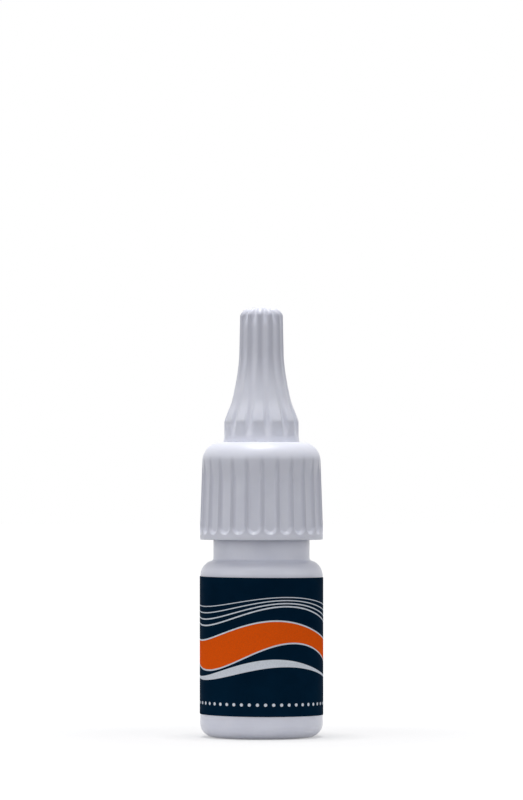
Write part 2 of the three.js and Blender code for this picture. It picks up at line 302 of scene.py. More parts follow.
@dataclass(frozen=True)
class Thread:
    """A right-hand screw ridge.

    Attributes:
        lead: Height of one turn.
        ridge_height: How far the ridge stands out of its wall, below 0 in a bore.
        root: Width of the ridge at its foot.
        crest: Width of the ridge at its top.
        turns: Number of turns.
        start_turn: Where it starts, in turns from +X.
        start_height: Height of its middle at the start.
        rows: Number of fine rows in the wall that carries it.
        room: How far these rows go on below and above the ridge.
        fade: Turns in which it rises out of the wall at each end.
    """

    lead: float
    ridge_height: float
    root: float
    crest: float
    turns: float
    start_turn: float
    start_height: float
    rows: int
    room: Span = (0.1, 0.1)
    fade: float = 0.08

    def foot(self) -> float:
        """Returns the height where its fine rows start."""
        return self.start_height - self.root / 2 - self.room[0]

    def top(self) -> float:
        """Returns the height where its fine rows end."""
        return self.start_height + self.lead * self.turns + self.root / 2 + self.room[1]

    def rise(self, angle: float, radius: float, height: float) -> tuple[float, float]:
        """Gives the ridge's height over its wall.

        Args:
            angle: Angle from +X in radians.
            radius: Distance from the axis.
            height: Height above the base.

        Returns:
            The rise in millimetres, and no rib.
        """
        along = (angle / math.tau - self.start_turn) % 1.0
        best = 0.0
        while along <= self.turns:
            off = abs(height - self.start_height - self.lead * along)
            section = (self.root / 2 - off) / (self.root / 2 - self.crest / 2)
            ends = min(along, self.turns - along) / self.fade
            best = max(best, min(1.0, section, ends))
            along += 1.0
        return self.ridge_height * best, 0.0


class Graph:
    """Adds shader nodes to a node tree and links them."""

    def __init__(self, tree: bpy.types.NodeTree) -> None:
        """Keeps the tree and empties it."""
        self.tree = tree
        tree.nodes.clear()

    def node(self, kind: str, inputs: dict[Union[str, int], Value], **settings: object) -> bpy.types.Node:
        """Adds one node.

        Args:
            kind: The node's type without its ShaderNode prefix.
            inputs: Constants to set or sockets to link, by the input's name or number.
            **settings: Properties of the node.

        Returns:
            The new node.
        """
        made = self.tree.nodes.new("ShaderNode" + kind)
        for name, value in settings.items():
            setattr(made, name, value)
        for name, value in inputs.items():
            if isinstance(value, Socket):
                self.tree.links.new(value, made.inputs[name])
            else:
                made.inputs[name].default_value = value
        return made

    def place(self) -> Socket:
        """Returns the place on the piece in metres."""
        return self.node("TexCoord", {}).outputs["Object"]

    def math(self, operation: str, first: Value, second: Value = 0.0) -> Socket:
        """Returns the result of one operation of a Math node."""
        return self.node("Math", {0: first, 1: second}, operation=operation).outputs[0]

    def noise(self, place: Socket, grain: float, detail: float = 3.0) -> Socket:
        """Returns a soft irregular pattern, from the size of its spots and the number of finer layers."""
        scale = 1 / (grain * METRES_PER_MM)
        return self.node("TexNoise", {"Vector": place, "Scale": scale, "Detail": detail}).outputs["Fac"]

    def drawn_noise(self, pull: Place, grain: float, detail: float = 3.0) -> Socket:
        """Returns a noise pattern whose spots are pulled out along each axis where its scale is below 1."""
        pulled = self.node("Mapping", {"Vector": self.place(), "Scale": pull}).outputs[0]
        return self.noise(pulled, grain, detail)

    def ramp(self, value: Value, source: Span, target: Span, run: Ramp = Ramp.STRAIGHT) -> Socket:
        """Maps a value from one range to another and holds it at the ends.

        Args:
            value: The value.
            source: The range that it comes from.
            target: The range that it goes to.
            run: How it runs between the ends.

        Returns:
            The result's socket.
        """
        inputs = {"Value": value, "From Min": source[0], "From Max": source[1]}
        inputs["To Min"], inputs["To Max"] = target
        return self.node("MapRange", inputs, interpolation_type=run.value).outputs[0]

    def spread(self, pattern: Value, target: Span = WHOLE) -> Socket:
        """Stretches the middle of a noise pattern over a range."""
        return self.ramp(pattern, NOISE_SPAN, target)

    def tint(self, share: Value, first: Value, second: Value) -> Socket:
        """Mixes two colours, where the share says how much of the second one shows."""
        return self.node("MixRGB", {"Fac": share, "Color1": first, "Color2": second}).outputs[0]

    def bump(self, height: Socket, depth: float) -> Socket:
        """Returns the normal of a fine relief, from its pattern of 0 to 1 and its depth in millimetres."""
        inputs = {"Height": height, "Distance": depth * METRES_PER_MM, "Strength": 1.0}
        return self.node("Bump", inputs).outputs[0]

    def surface(self, shader: bpy.types.Node) -> None:
        """Links a shader to the output."""
        self.node("OutputMaterial", {"Surface": shader.outputs[0]})


def new_material(name: str) -> tuple[Material, Graph]:
    """Makes an empty node material.

    Args:
        name: Its name.

    Returns:
        The material and the graph of its nodes.
    """
    material = bpy.data.materials.new(name)
    material.use_nodes = True
    return material, Graph(material.node_tree)


@dataclass(frozen=True)
class MouldedPlastic:
    """A moulded plastic with faint flow clouds and a fine grain from its mould.

    Attributes:
        name: Name of the material.
        light: Colour of its lighter clouds.
        deep: Colour of its deeper clouds.
        painted_rib_shade: Colour painted on raised ribs as painted shade, darker than the panels between
            them.
        cloud: Size of the clouds.
        grain: Size of the mould's grain.
        relief: Depth of the grain.
        gloss: Lowest and highest roughness.
        glow: Share of light that spreads inside the wall.
        reach: How far the light spreads inside.
    """

    name: str
    light: Colour
    deep: Colour
    # painted shade: the ribs' darker colour stands in for the shade that falls on them
    painted_rib_shade: Colour
    cloud: float
    grain: float
    relief: float
    gloss: Span
    glow: float
    reach: float

    def build(self) -> Material:
        """Wires the clouds, the painted shade on the ribs, the gloss and the grain.

        Returns:
            The finished material.
        """
        material, graph = new_material(self.name)
        place = graph.place()
        clouds = graph.spread(graph.noise(place, self.cloud))
        rib = graph.node("Attribute", {}, attribute_name="rib").outputs["Fac"]
        inputs = {
            # Painted shade: where the rib share is high, the colour goes over into the darker rib colour.
            "Base Color": graph.tint(rib, graph.tint(clouds, self.deep, self.light), self.painted_rib_shade),
            "Roughness": graph.spread(graph.noise(place, self.cloud / SHEEN_SPOTS_PER_CLOUD), self.gloss),
            "Normal": graph.bump(graph.noise(place, self.grain), self.relief),
            "Subsurface Weight": self.glow,
            "Subsurface Scale": self.reach * METRES_PER_MM,
            "Subsurface Radius": GLOW_RATIO,
        }
        graph.surface(graph.node("BsdfPrincipled", inputs))
        return material


WHITE_PLASTIC = MouldedPlastic(
    name="white_plastic",
    light=(0.81, 0.825, 0.908, 1),
    deep=(0.77, 0.785, 0.872, 1),
    # painted shade on the raised ribs of the collar and the cap
    painted_rib_shade=(0.605, 0.615, 0.70, 1),
    cloud=5.0,
    grain=0.18,
    relief=0.004,
    gloss=(0.36, 0.48),
    glow=0.1,
    reach=0.6,
)
MILKY_PLASTIC = MouldedPlastic(
    name="milky_plastic",
    light=(0.81, 0.825, 0.915, 1),
    deep=(0.76, 0.775, 0.87, 1),
    painted_rib_shade=(0.76, 0.775, 0.87, 1),
    cloud=7.0,
    grain=0.4,
    relief=0.006,
    gloss=(0.28, 0.40),
    glow=0.15,
    reach=2.0,
)
NATURAL_PLASTIC = MouldedPlastic(
    name="natural_plastic",
    light=(0.80, 0.81, 0.80, 1),
    deep=(0.72, 0.735, 0.74, 1),
    painted_rib_shade=(0.72, 0.735, 0.74, 1),
    cloud=4.0,
    grain=0.25,
    relief=0.004,
    gloss=(0.26, 0.38),
    glow=0.3,
    reach=1.2,
)


@dataclass(frozen=True)
class GelFinish:
    """Cloudy wet gel with drawn streaks.

    Attributes:
        light: Colour of the lighter streaks.
        deep: Colour of the deeper streaks.
        streak: Size of the streaks.
        streak_layers: Number of finer layers in the streaks.
        pull: Scale of the streaks along each axis.
        relief: Depth of the streaks.
        sheen_spot: Size of the spots of sheen.
        gloss: Lowest and highest roughness.
        glow: Share of light that spreads inside.
        reach: How far the light spreads inside.
    """

    light: Colour = (0.82, 0.84, 0.86, 1)
    deep: Colour = (0.70, 0.74, 0.78, 1)
    streak: float = 3.0
    streak_layers: float = 4.0
    pull: Place = (1.0, 1.0, 0.3)
    relief: float = 0.05
    sheen_spot: float = 2.0
    gloss: Span = (0.08, 0.2)
    glow: float = 0.4
    reach: float = 3.0

    def build(self) -> Material:
        """Wires the streaks, the sheen and the glow.

        Returns:
            The finished material.
        """
        material, graph = new_material("gel")
        streaks = graph.drawn_noise(self.pull, self.streak, self.streak_layers)
        inputs = {
            "Base Color": graph.tint(graph.spread(streaks), self.deep, self.light),
            "Roughness": graph.spread(graph.noise(graph.place(), self.sheen_spot), self.gloss),
            "Normal": graph.bump(streaks, self.relief),
            "Subsurface Weight": self.glow,
            "Subsurface Scale": self.reach * METRES_PER_MM,
        }
        graph.surface(graph.node("BsdfPrincipled", inputs))
        return material


@dataclass(frozen=True)
class DrawnSteel:
    """Bright steel wire with fine lines along its length.

    Attributes:
        light: Colour of the lighter lines.
        deep: Colour of the deeper lines.
        line: Width of the lines.
        pull: Scale of the lines along each axis.
        relief: Depth of the lines.
        gloss: Lowest and highest roughness.
    """

    light: Colour = (0.62, 0.62, 0.63, 1)
    deep: Colour = (0.50, 0.50, 0.52, 1)
    line: float = 0.05
    pull: Place = (1.0, 1.0, 0.02)
    relief: float = 0.002
    gloss: Span = (0.22, 0.36)

    def build(self) -> Material:
        """Wires the drawn lines.

        Returns:
            The finished material.
        """
        material, graph = new_material("pin_steel")
        lines = graph.drawn_noise(self.pull, self.line)
        inputs = {
            "Base Color": graph.tint(graph.spread(lines), self.deep, self.light),
            "Metallic": 1.0,
            "Roughness": graph.spread(lines, self.gloss),
            "Normal": graph.bump(lines, self.relief),
        }
        graph.surface(graph.node("BsdfPrincipled", inputs))
        return material


@dataclass(frozen=True)
class Wave:
    """A value of the print that swings as it goes round the bottle.

    Attributes:
        lag: Where the wave starts, in turns of the wave.
        swing: How far it goes up and down, as a share of the label's height.
        level: Its middle, as a share of the label's height.
    """

    lag: float
    swing: float
    level: float


@dataclass(frozen=True)
class LabelFilm:
    """Dark film with a plain printed design: a broad ribbon, a slim one, hairlines and a row of dots.

    The print follows the strip: its map runs once round the bottle and from the label's foot to its top.
    Widths and heights of the ribbons and hairlines are shares of the label's height.

    Attributes:
        film: Colour of the film.
        film_deep: Colour of the film's darker clouds.
        ribbon: Colour of the broad ribbon.
        pale: Colour of the slim lines.
        strip_length: Length of the strip once round the bottle.
        strip_height: Height of the strip.
        edge: Half width of the print's soft edge.
        waves: Number of waves round the bottle.
        path: Height of the broad ribbon's middle.
        breadth: Half width of the broad ribbon.
        border: Width of the pale border of the broad ribbon.
        slim_path: Height of the slim ribbon's middle over that of the broad one.
        slim_breadth: Half width of the slim ribbon.
        hair: Height of the first hairline over the broad ribbon's middle.
        hair_count: Number of hairlines, each of which swings further than the last.
        hair_pitch: Step from hairline to hairline.
        hair_half: Half width of the first hairline.
        hair_thinning: How much thinner each next hairline is.
        dot_count: Number of dots round the bottle.
        dot_height: Height of the row of dots, as a share of the label's height.
        dot_radius: Radius of a dot.
        wear_spot: Size of the worn spots of the print.
        wear: Least and most share of ink that is left.
        cloud: Size of the film's clouds.
        grain: Size of the film's grain.
        grain_share: Share of the relief that the grain has.
        ink_share: Share of the relief that the ink has.
        relief: Depth of the relief.
        sheen_spot: Size of the spots of sheen.
        gloss: Lowest and highest roughness of the bare film.
        ink_dull: How much rougher the ink is.
        specular: Strength of its mirror light, low because the film is dull.
    """

    film: Colour = (0.0014, 0.0150, 0.036, 1)
    film_deep: Colour = (0.0010, 0.0115, 0.028, 1)
    ribbon: Colour = (0.95, 0.115, 0.004, 1)
    pale: Colour = (0.80, 0.85, 0.92, 1)
    strip_length: float = 81.7
    strip_height: float = 29.2
    edge: float = 0.03
    waves: float = 2.0
    path: Wave = Wave(lag=0.12, swing=0.085, level=0.52)
    breadth: Wave = Wave(lag=0.45, swing=0.028, level=0.088)
    border: float = 0.011
    slim_path: Wave = Wave(lag=0.55, swing=0.03, level=-0.195)
    slim_breadth: Wave = Wave(lag=0.30, swing=0.012, level=0.020)
    hair: Wave = Wave(lag=0.62, swing=0.012, level=0.20)
    hair_count: int = 4
    hair_pitch: float = 0.034
    hair_half: float = 0.0052
    hair_thinning: float = 0.0007
    dot_count: int = 48
    dot_height: float = 0.085
    dot_radius: float = 0.34
    wear_spot: float = 0.25
    wear: Span = (0.86, 1.0)
    cloud: float = 6.0
    grain: float = 0.35
    grain_share: float = 0.4
    ink_share: float = 0.6
    relief: float = 0.006
    sheen_spot: float = 1.6
    gloss: Span = (0.46, 0.58)
    ink_dull: float = 0.06
    specular: float = 0.002

    def band(self, graph: Graph, off: Value, half: Value) -> Socket:
        """Fills a line of the print.

        Args:
            graph: The material's graph.
            off: Distance from the line's middle, as a share of the label's height.
            half: Half of the line's width.

        Returns:
            1 in the line and 0 beside it.
        """
        over = graph.math("SUBTRACT", half, graph.math("ABSOLUTE", off))
        edge = self.edge / self.strip_height
        return graph.ramp(over, (-edge, edge), WHOLE, Ramp.SMOOTH)

    def trace(self, graph: Graph, along: Value, wave: Wave) -> Socket:
        """Follows a wave round the label.

        Args:
            graph: The material's graph.
            along: Place round the bottle in turns.
            wave: The wave.

        Returns:
            The wave's value at that place.
        """
        inputs = {0: along, 1: math.tau * self.waves, 2: math.tau * wave.lag}
        angle = graph.node("Math", inputs, operation="MULTIPLY_ADD").outputs[0]
        swing = graph.math("MULTIPLY", graph.math("SINE", angle), wave.swing)
        return graph.math("ADD", swing, wave.level)

    def dots(self, graph: Graph, along: Value, up: Value) -> Socket:
        """Makes a row of round dots near the label's foot.

        Args:
            graph: The material's graph.
            along: Place round the bottle in turns.
            up: Place up the label from 0 to 1.

        Returns:
            1 in a dot and 0 beside it.
        """
        pitch = self.strip_length / self.dot_count
        cell = graph.math("FRACT", graph.math("MULTIPLY", along, self.dot_count))
        across = graph.math("MULTIPLY", graph.math("SUBTRACT", cell, 0.5), pitch)
        above = graph.math("MULTIPLY", graph.math("SUBTRACT", up, self.dot_height), self.strip_height)
        squares = graph.math("ADD", graph.math("POWER", across, 2.0), graph.math("POWER", above, 2.0))
        over = graph.math("SUBTRACT", self.dot_radius, graph.math("SQRT", squares))
        return graph.ramp(over, (-self.edge, self.edge), WHOLE)

    def build(self) -> Material:
        """Wires the film, the print and its wear.

        Returns:
            The finished material.
        """
        material, graph = new_material("label_film")
        place = graph.place()
        print_map = graph.node("UVMap", {}, uv_map="print").outputs[0]
        along, up, _ = graph.node("SeparateXYZ", {0: print_map}).outputs
        off = graph.math("SUBTRACT", up, self.trace(graph, along, self.path))
        broad = self.trace(graph, along, self.breadth)
        ribbon = self.band(graph, off, broad)
        bordered = self.band(graph, off, graph.math("ADD", broad, self.border))
        pale = graph.math("SUBTRACT", bordered, ribbon)
        slim_off = graph.math("SUBTRACT", off, self.trace(graph, along, self.slim_path))
        slim = self.band(graph, slim_off, self.trace(graph, along, self.slim_breadth))
        pale = graph.math("MAXIMUM", pale, slim)
        for step in range(self.hair_count):
            path = Wave(self.hair.lag, self.hair.swing * (step + 1), self.hair.level + self.hair_pitch * step)
            hair_off = graph.math("SUBTRACT", off, self.trace(graph, along, path))
            hair = self.band(graph, hair_off, self.hair_half - self.hair_thinning * step)
            pale = graph.math("MAXIMUM", pale, hair)
        pale = graph.math("MAXIMUM", pale, self.dots(graph, along, up))
        wear = graph.spread(graph.noise(place, self.wear_spot), self.wear)
        colour = graph.tint(graph.spread(graph.noise(place, self.cloud)), self.film_deep, self.film)
        colour = graph.tint(graph.math("MULTIPLY", pale, wear), colour, self.pale)
        colour = graph.tint(graph.math("MULTIPLY", ribbon, wear), colour, self.ribbon)
        ink = graph.math("MAXIMUM", pale, ribbon)
        grain = graph.math("MULTIPLY", graph.noise(place, self.grain), self.grain_share)
        relief = graph.math("ADD", grain, graph.math("MULTIPLY", ink, self.ink_share))
        rough = graph.spread(graph.noise(place, self.sheen_spot), self.gloss)
        inputs = {
            "Base Color": colour,
            "Roughness": graph.math("ADD", rough, graph.math("MULTIPLY", ink, self.ink_dull)),
            "Normal": graph.bump(relief, self.relief),
            "Specular IOR Level": self.specular,
        }
        graph.surface(graph.node("BsdfPrincipled", inputs))
        return material


def seen_rays(graph: Graph) -> Socket:
    """Finds the rays that show a backdrop to the eye, straight, mirrored or through glass.

    Args:
        graph: The graph to add to.

    Returns:
        1 on such rays and 0 on those that only light other things.
    """
    path = graph.node("LightPath", {}).outputs
    mirrored = graph.math("MAXIMUM", path["Is Glossy Ray"], path["Is Transmission Ray"])
    return graph.math("MAXIMUM", path["Is Camera Ray"], mirrored)


@dataclass(frozen=True)
class StudioFloor:
    """Pale floor that shows white to the eye and keeps the object's soft shadow.

    Attributes:
        paper: Colour under the bottle.
        outer_paper: Colour further out, where little light is thrown back.
        near: Share of white that the eye sees under the bottle.
        far: Share of white that the eye sees further out.
        clear: Distances from the bottle between which the one goes over into the other.
    """

    paper: Colour = (0.56, 0.56, 0.56, 1)
    outer_paper: Colour = (0.14, 0.14, 0.14, 1)
    near: float = 0.38
    far: float = 1.0
    clear: Span = (0.03, 0.10)

    def build(self) -> Material:
        """Wires the paper and the white that only the eye sees.

        Returns:
            The finished material.
        """
        material, graph = new_material("studio_floor")
        distance = graph.node("VectorMath", {0: graph.place()}, operation="LENGTH").outputs["Value"]
        outer = graph.ramp(distance, self.clear, WHOLE, Ramp.SMOOTH)
        lift = graph.ramp(outer, WHOLE, (self.near, self.far))
        paper = graph.node("BsdfDiffuse", {"Color": graph.tint(outer, self.paper, self.outer_paper)})
        glow = graph.node("Emission", {"Strength": graph.math("MULTIPLY", lift, seen_rays(graph))})
        graph.surface(graph.node("AddShader", {0: paper.outputs[0], 1: glow.outputs[0]}))
        return material


@dataclass
class Piece:
    """A finished piece of the bottle.

    Attributes:
        name: Name of the finished piece.
        node: The frame's node that it stands for.
        body: The body that it moves with.
        slot: The record's material slot, which is not used.
        columns: Number of steps round the axis.
    """

    name: str = ""
    node: str = ""
    body: Body = Body.BOTTLE
    slot: str = ""
    columns: int = 64

    def shape(self) -> BMesh:
        """Returns the piece's mesh, which each piece makes in its own way."""
        raise NotImplementedError

    def finish(self) -> Material:
        """Returns the piece's material, which each piece chooses."""
        raise NotImplementedError

    def build(self) -> bpy.types.Object:
        """Makes the mesh, dresses it and hangs it on its body.

        Returns:
            The finished object.
        """
        shaped = self.shape()
        mesh = bpy.data.meshes.new(self.name)
        shaped.to_mesh(mesh)
        shaped.free()
        mesh.shade_smooth()
        mesh.set_sharp_from_angle(angle=SHARP_ANGLE)
        mesh.materials.append(self.finish())
        made = bpy.data.objects.new(self.name, mesh)
        bpy.context.scene.collection.objects.link(made)
        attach(made, self.body.value)
        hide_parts(self.node)
        LOG.info("%s: %d faces, moves with %s", self.name, len(mesh.polygons), self.body.value)
        return made


@dataclass
class Bottle(Piece):
    """The blow-moulded bottle with its threaded neck, push-up base and parting line."""

    name: str = "bottle_shell"
    node: str = "bottle"
    slot: str = "milky_plastic"
    columns: int = 320
    body_height: float = 34.3
    wall: float = 1.0
    floor_top: float = 1.9
    base_edge: float = 3.0
    stand_ring: float = 2.4
    push_up: float = 0.6
    push_up_slope: float = 0.9
    shoulder_radius: float = 3.4
    shoulder_sweep: float = 73.61
    neck_radius: float = 10.2
    neck_fillet: float = 0.5
    neck_fillet_height: float = 38.042
    neck_wall: float = 1.2
    rim_round: float = 0.3
    seam_height: float = 0.05
    seam_width: float = 0.22
    pinch_height: float = 0.22
    pinch_width: float = 0.45
    pinch_fade: Span = (4.4, 5.6)
    thread: Thread = Thread(
        lead=3.2,
        ridge_height=1.0,
        root=1.8,
        crest=0.8,
        turns=1.75,
        start_turn=0.0,
        start_height=51.697,
        rows=64,
        room=(0.9, 0.0),
    )

    def finish(self) -> Material:
        """Returns the milky plastic."""
        return MILKY_PLASTIC.build()

    def outline(self) -> Outline:
        """Draws the half section, from the push-up round the outside to the neck and down the inside.

        Returns:
            The outline.
        """
        _, rim, radius = node_levels(self.node)
        stand = radius - self.base_edge
        push_foot = stand - self.stand_ring
        shoulder = (radius - self.shoulder_radius, self.body_height)
        fillet = (self.neck_radius + self.neck_fillet, self.neck_fillet_height)
        bore = self.neck_radius - self.neck_wall
        inner_shoulder = self.shoulder_radius - self.wall
        inner_edge = self.base_edge - self.wall
        inner_centre = (radius - self.wall - inner_edge, self.floor_top + inner_edge)
        drawn = Outline().to(0, self.push_up, zone=Zone.BASE)
        drawn.run(push_foot - 2 * self.push_up_slope, self.push_up, rows=22, zone=Zone.BASE)
        drawn.to(push_foot - self.push_up_slope, self.push_up, soft=0.5)
        drawn.to(push_foot, 0, soft=0.4).to(stand, 0)
        drawn.arc((stand, self.base_edge), self.base_edge, sweep=(-90, 0), steps=16, zone=Zone.SKIN)
        drawn.run(radius, self.body_height, rows=4, zone=Zone.SKIN)
        drawn.arc(shoulder, self.shoulder_radius, sweep=(0, self.shoulder_sweep), steps=18, zone=Zone.SKIN)
        drawn.arc(fillet, self.neck_fillet, sweep=(self.shoulder_sweep + 180, 180), steps=6, zone=Zone.SKIN)
        drawn.to(self.neck_radius, self.thread.foot(), zone=Zone.SKIN)
        drawn.run(self.neck_radius, self.thread.top(), self.thread.rows, Zone.THREAD)
        drawn.to(self.neck_radius, rim, self.rim_round).to(bore, rim, self.rim_round)
        drawn.to(bore, self.body_height + inner_shoulder, soft=0.3)
        drawn.arc(shoulder, inner_shoulder, sweep=(90, 0), steps=10)
        drawn.arc(inner_centre, inner_edge, sweep=(0, -90), steps=8)
        return drawn.to(0, self.floor_top)

    def seam(self, angle: float, radius: float, height: float) -> tuple[float, float]:
        """Returns the parting line's rise at both sides of the bottle, and no rib."""
        return self.seam_height * math.exp(-((math.sin(angle) * radius / self.seam_width) ** 2)), 0.0

    def pinch(self, mesh: BMesh) -> None:
        """Lowers the line across the base where the mould pinched the plastic off.

        Args:
            mesh: The turned bottle.
        """
        zone_layer = mesh.verts.layers.float["zone"]
        for vert in mesh.verts:
            if round(vert[zone_layer]) == Zone.BASE.value:
                across = vert.co.y / METRES_PER_MM
                along = abs(vert.co.x) / METRES_PER_MM
                ridge = math.exp(-((across / self.pinch_width) ** 2)) * (1 - ease(*self.pinch_fade, along))
                vert.co.z -= self.pinch_height * ridge * METRES_PER_MM

    def shape(self) -> BMesh:
        """Turns the bottle and adds its thread, its parting line and the pinched line.

        Returns:
            The bottle's mesh.
        """
        mesh = self.outline().turned(self.columns, closed=False)
        grow(mesh, Zone.THREAD, self.thread.rise)
        grow(mesh, Zone.SKIN, self.seam)
        self.pinch(mesh)
        return mesh


@dataclass
class Label(Piece):
    """The printed film, one strip wound once round the bottle, lapped over its start at the back.

    Attributes:
        lap: How far the end goes past the start, in degrees.
        lap_lift: How far the end lies further out.
        lift_span: Where the end leaves the bottle and where it lies on the start, in degrees.
        skew: How much lower the strip ends than it started.
    """

    name: str = "label_wrap"
    node: str = "label"
    slot: str = "label_film"
    columns: int = 264
    inner_radius: float = 13.05
    thickness: float = 0.12
    lap: float = 16.4
    lap_lift: float = 0.17
    lift_span: Span = (344.0, 352.0)
    skew: float = 0.5

    def finish(self) -> Material:
        """Returns the printed film."""
        return LabelFilm().build()

    def wind(self) -> BMesh:
        """Winds the strip step by step.

        Returns:
            The strip, whose vertices carry their turn and their share of its height.
        """
        bottom, top, _ = node_levels(self.node)
        mesh = bmesh.new()
        turn_layer = mesh.verts.layers.float.new("turn")
        up_layer = mesh.verts.layers.float.new("up")
        verts = []
        for out, up in ((0.0, 0.0), (self.thickness, 0.0), (self.thickness, 1.0), (0.0, 1.0)):
            spot = Vector((0, self.inner_radius + out, mix(bottom, top, up)))
            vert = mesh.verts.new(spot * METRES_PER_MM)
            vert[up_layer] = up
            verts.append(vert)
        face = mesh.faces.new(verts)
        whole = math.tau + math.radians(self.lap)
        step_turn = Matrix.Rotation(whole / self.columns, 3, "Z")
        for step in range(1, self.columns + 1):
            made = bmesh.ops.extrude_face_region(mesh, geom=[face])["geom"]
            face = next(item for item in made if isinstance(item, bmesh.types.BMFace))
            bmesh.ops.rotate(mesh, verts=face.verts[:], cent=(0, 0, 0), matrix=step_turn)
            for vert in face.verts:
                vert[turn_layer] = whole * step / self.columns
        return mesh

    def shape(self) -> BMesh:
        """Lays the print's map on the strip and laps its end over its start.

        Returns:
            The label's mesh.
        """
        mesh = self.wind()
        print_map = mesh.loops.layers.uv.new("print")
        turn_layer = mesh.verts.layers.float["turn"]
        up_layer = mesh.verts.layers.float["up"]
        for face in mesh.faces:
            for loop in face.loops:
                loop[print_map].uv = (loop.vert[turn_layer] / math.tau, loop.vert[up_layer])
        for vert in mesh.verts:
            turn = vert[turn_layer]
            lift = self.lap_lift * ease(*self.lift_span, math.degrees(turn))
            radius = vert.co.xy.length
            vert.co.xy *= (radius + lift * METRES_PER_MM) / radius
            vert.co.z -= self.skew * (turn / math.tau - 0.5) * METRES_PER_MM
        bmesh.ops.recalc_face_normals(mesh, faces=mesh.faces[:])
        return mesh


@dataclass
class GelFill(Piece):
    """The gel inside the bottle, up to its level in the neck."""

    name: str = "gel_body"
    node: str = "gel_fill"
    slot: str = "gel"
    columns: int = 96
    edge: float = 2.0
    shoulder_foot: float = 34.0
    shoulder_top: float = 36.4
    shoulder_round: float = 0.8
    neck: float = 8.7
    dip: float = 0.9
    dip_turn: float = 0.6

    def finish(self) -> Material:
        """Returns the cloudy gel."""
        return GelFinish().build()

    def shape(self) -> BMesh:
        """Turns the gel with a dipped surface.

        Returns:
            The gel's mesh.
        """
        bottom, level, radius = node_levels(self.node)
        dip_floor = level - self.dip
        drawn = Outline().to(0, bottom).to(radius - self.edge, bottom)
        drawn.arc((radius - self.edge, bottom + self.edge), self.edge, sweep=(-90, 0), steps=8)
        drawn.to(radius, self.shoulder_foot, self.shoulder_round)
        drawn.to(self.neck, self.shoulder_top, self.shoulder_round).to(self.neck, level, soft=0.2)
        drawn.flare((self.neck * self.dip_turn, dip_floor), (0, dip_floor), steps=10)
        return drawn.turned(self.columns, closed=False)


@dataclass
class Nozzle(Piece):
    """The dispensing nozzle: plug, flange, threaded stem and spout with its outlet."""

    name: str = "nozzle_body"
    node: str = "nozzle"
    body: Body = Body.NOZZLE
    slot: str = "natural_plastic"
    columns: int = 160
    plug_radius: float = 8.7
    plug_wall: float = 1.0
    flange_foot: float = 59.697
    flange_top: float = 61.097
    stem_radius: float = 5.4
    stem_wall: float = 1.2
    stem_top: float = 67.797
    spout_foot: float = 69.597
    spout_foot_radius: float = 3.6
    spout_tip_radius: float = 1.95
    outlet_radius: float = 0.9
    outlet_length: float = 6.0
    edge: float = 0.25
    thread: Thread = Thread(
        lead=2.0,
        ridge_height=0.7,
        root=0.9,
        crest=0.5,
        turns=1.5,
        start_turn=0.0,
        start_height=63.697,
        rows=48,
        room=(0.45, 0.0),
    )

    def finish(self) -> Material:
        """Returns the natural plastic."""
        return NATURAL_PLASTIC.build()

    def shape(self) -> BMesh:
        """Turns the nozzle, up its outside and down its bore, and adds its thread.

        Returns:
            The nozzle's mesh.
        """
        plug_foot, tip, flange = node_levels(self.node)
        plug_bore = self.plug_radius - self.plug_wall
        stem_bore = self.stem_radius - self.stem_wall
        drawn = Outline().to(plug_bore, plug_foot, self.edge).to(self.plug_radius, plug_foot, soft=0.4)
        drawn.to(self.plug_radius, self.flange_foot, soft=0.15).to(flange, self.flange_foot, self.edge)
        drawn.to(flange, self.flange_top, self.edge).to(self.stem_radius, self.flange_top, soft=0.3)
        drawn.to(self.stem_radius, self.thread.foot())
        drawn.run(self.stem_radius, self.thread.top(), self.thread.rows, Zone.THREAD)
        drawn.to(self.stem_radius, self.stem_top, soft=0.4)
        drawn.to(self.spout_foot_radius, self.spout_foot, soft=0.8)
        drawn.to(self.spout_tip_radius, tip, soft=0.35).to(self.outlet_radius, tip, soft=0.12)
        drawn.to(self.outlet_radius, tip - self.outlet_length, soft=0.3)
        drawn.to(self.spout_foot_radius - self.stem_wall, self.spout_foot, soft=0.6)
        drawn.to(stem_bore, self.stem_top - self.stem_wall, soft=0.5).to(stem_bore, self.flange_top, soft=0.5)
        drawn.to(plug_bore, self.flange_foot, soft=0.4)
        mesh = drawn.turned(self.columns, closed=True)
        grow(mesh, Zone.THREAD, self.thread.rise)
        return mesh


